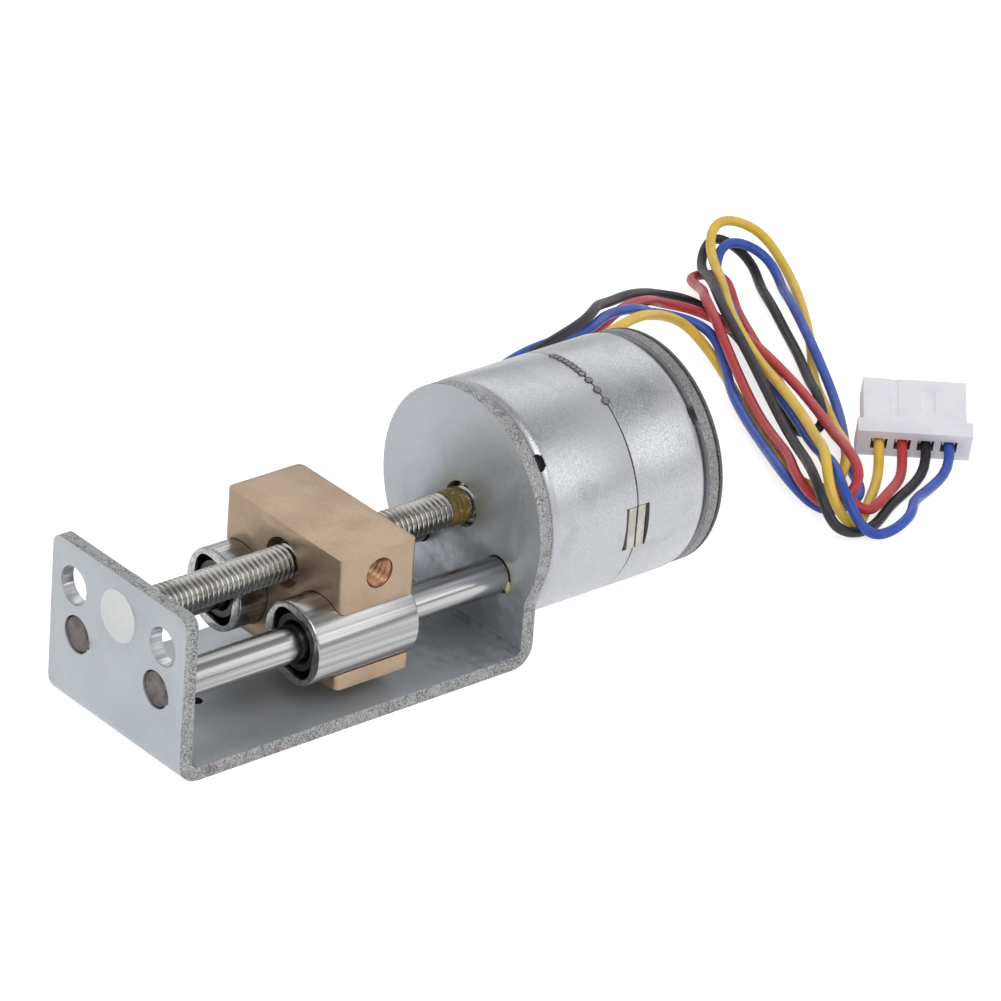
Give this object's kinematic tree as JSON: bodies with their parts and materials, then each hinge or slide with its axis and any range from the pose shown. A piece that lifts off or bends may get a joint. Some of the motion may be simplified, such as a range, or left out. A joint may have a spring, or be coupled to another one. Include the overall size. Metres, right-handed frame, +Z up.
{
  "type": "stepper motor linear slide",
  "caption": "Small stepper motor that turns a fine lead screw and so moves a brass slider along two guide rods on a bent sheet bracket.",
  "frame": {"origin": "middle of the bracket's flat underside", "axes": "+Y along the lead screw from the front plate to the motor, +X to the right when looking along +Y, +Z up from the mounting face"},
  "size_m": [0.0496, 0.1016, 0.0211],
  "materials": {
    "zinc_plated_steel": "satin zinc plating",
    "polished_steel": "ground and polished",
    "screw_steel": "rolled thread with grease",
    "tin_plated_steel": "dull tin plating",
    "yoke_steel": "plain",
    "brass": "satin, machined",
    "bronze": "sintered",
    "copper": "enamelled wire",
    "magnet": "matte",
    "bearing_plastic": "milky white",
    "black_plastic": "matte black",
    "motor_plastic": "matte",
    "terminal_plastic": "matte",
    "housing_plastic": "milky nylon",
    "tinned_pin": "tinned",
    "contact_metal": "tinned brass",
    "jacket_yellow": "soft insulation",
    "jacket_red": "soft insulation",
    "jacket_black": "soft insulation",
    "jacket_blue": "soft insulation"
  },
  "bodies": {
    "base": {"bracket": "zinc_plated_steel", "front_bearing": "bearing_plastic", "guide_rod_left": "polished_steel", "guide_rod_right": "polished_steel", "front_bush": "bronze", "rear_bush": "bronze", "front_can": "tin_plated_steel", "rear_can": "tin_plated_steel", "rear_cover": "tin_plated_steel", "front_outer_yoke": "yoke_steel", "front_inner_yoke": "yoke_steel", "rear_outer_yoke": "yoke_steel", "rear_inner_yoke": "yoke_steel", "front_bobbin": "motor_plastic", "rear_bobbin": "motor_plastic", "front_coil": "copper", "rear_coil": "copper", "terminal_block": "terminal_plastic", "terminal_pin_1": "tinned_pin", "terminal_pin_2": "tinned_pin", "terminal_pin_3": "tinned_pin", "terminal_pin_4": "tinned_pin", "connector_housing": "housing_plastic", "contact_1": "contact_metal", "contact_2": "contact_metal", "contact_3": "contact_metal", "contact_4": "contact_metal", "wire_yellow": "jacket_yellow", "wire_red": "jacket_red", "wire_black": "jacket_black", "wire_blue": "jacket_blue"},
    "screw": {"lead_screw": "screw_steel", "thrust_collar": "polished_steel", "thrust_washer": "polished_steel", "rotor_hub": "motor_plastic", "rotor_magnet": "magnet", "preload_washer": "polished_steel"},
    "slider": {"slider_block": "brass", "bushing_sleeve_left": "polished_steel", "bushing_sleeve_right": "polished_steel", "bushing_cage_left": "black_plastic", "bushing_cage_right": "black_plastic"}
  },
  "joints": [
    {"name": "screw_spin", "type": "hinge", "parent": "base", "child": "screw", "pos_m": [0, 0, 0.01105], "axis": [0, 1, 0], "range_deg": [-7420, 8500]},
    {"name": "slider_slide", "type": "slide", "parent": "base", "child": "slider", "axis": [0, 1, 0], "range_m": [-0.0118, 0.0103]}
  ],
  "couplings": [
    {"joint": "screw_spin", "follows": "slider_slide", "rad_per_m": -12566}
  ]
}
